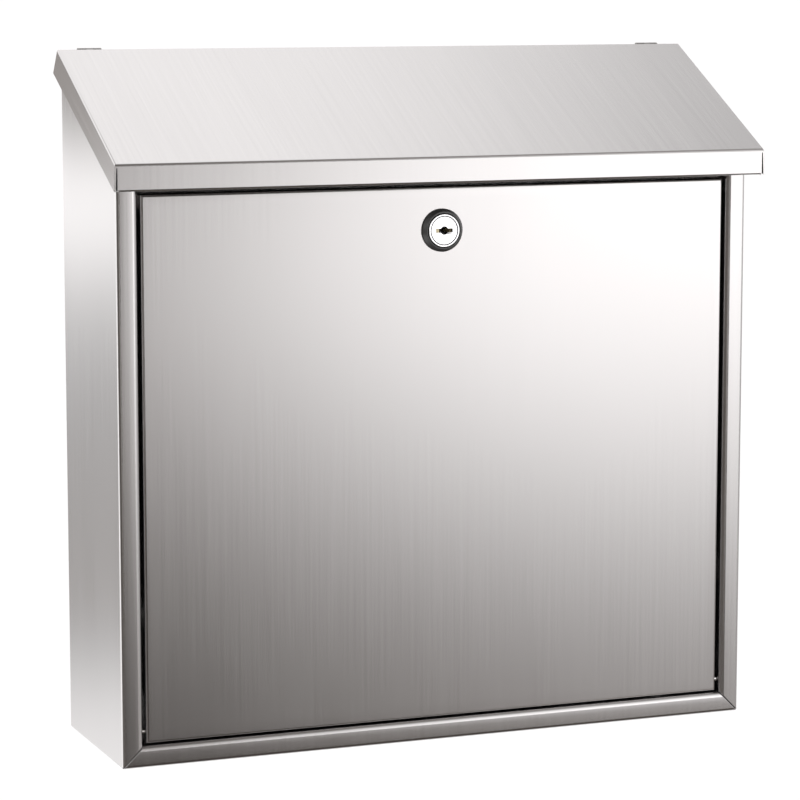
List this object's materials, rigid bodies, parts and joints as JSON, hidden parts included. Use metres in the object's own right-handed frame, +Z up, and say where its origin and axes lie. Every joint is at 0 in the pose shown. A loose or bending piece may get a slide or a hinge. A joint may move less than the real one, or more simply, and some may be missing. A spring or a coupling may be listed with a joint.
{
  "type": "wall mounted letter box",
  "caption": "Brushed stainless wall letter box with a sloped hinged lid for posting and a framed drop-down front door with a round cam lock.",
  "frame": {"origin": "on the wall side of the back panel, midway between its four fixing holes", "axes": "+X to the right along the front, +Y towards the wall, +Z up"},
  "size_m": [0.3686, 0.1133, 0.3722],
  "materials": {
    "stainless_sheet": "fine vertical brushing, satin",
    "hinge_steel": "dull, as rolled",
    "polished_pin": "polished",
    "zinc_steel": "zinc plated, satin",
    "lock_chrome": "bright",
    "black_plastic": "moulded, slightly glossy",
    "wafer_brass": "stamped",
    "buffer_rubber": "matt"
  },
  "bodies": {
    "box": {"body_shell": "stainless_sheet", "back_panel": "stainless_sheet", "door_lintel": "stainless_sheet", "door_pivot_pin_left": "polished_pin", "door_pivot_pin_right": "polished_pin", "lid_hinge_leaf_box_left": "hinge_steel", "lid_hinge_leaf_box_right": "hinge_steel", "lid_hinge_pin_left": "polished_pin", "lid_hinge_pin_right": "polished_pin", "lid_buffer_left": "buffer_rubber", "lid_buffer_right": "buffer_rubber"},
    "door": {"door_panel": "stainless_sheet", "lock_collar": "black_plastic", "lock_housing": "lock_chrome", "lock_washer": "zinc_steel", "lock_nut": "zinc_steel"},
    "lock": {"lock_plug": "lock_chrome", "lock_cam": "zinc_steel", "cam_washer": "zinc_steel", "cam_screw": "zinc_steel", "lock_wafer_1": "wafer_brass", "lock_wafer_2": "wafer_brass", "lock_wafer_3": "wafer_brass", "lock_wafer_4": "wafer_brass"},
    "lid": {"lid_cover": "stainless_sheet", "lid_hinge_leaf_lid_left": "hinge_steel", "lid_hinge_leaf_lid_right": "hinge_steel"}
  },
  "joints": [
    {"name": "door_hinge", "type": "hinge", "parent": "box", "child": "door", "pos_m": [0, -0.095, -0.1665], "axis": [1, 0, 0], "range_deg": [0, 120]},
    {"name": "lock_turn", "type": "hinge", "parent": "door", "child": "lock", "pos_m": [0, -0.0985, 0.09178], "axis": [0, -1, 0], "range_deg": [0, 90]},
    {"name": "lid_hinge", "type": "hinge", "parent": "box", "child": "lid", "pos_m": [0, -0.00347, 0.18527], "axis": [-1, 0, 0], "range_deg": [0, 100]}
  ]
}
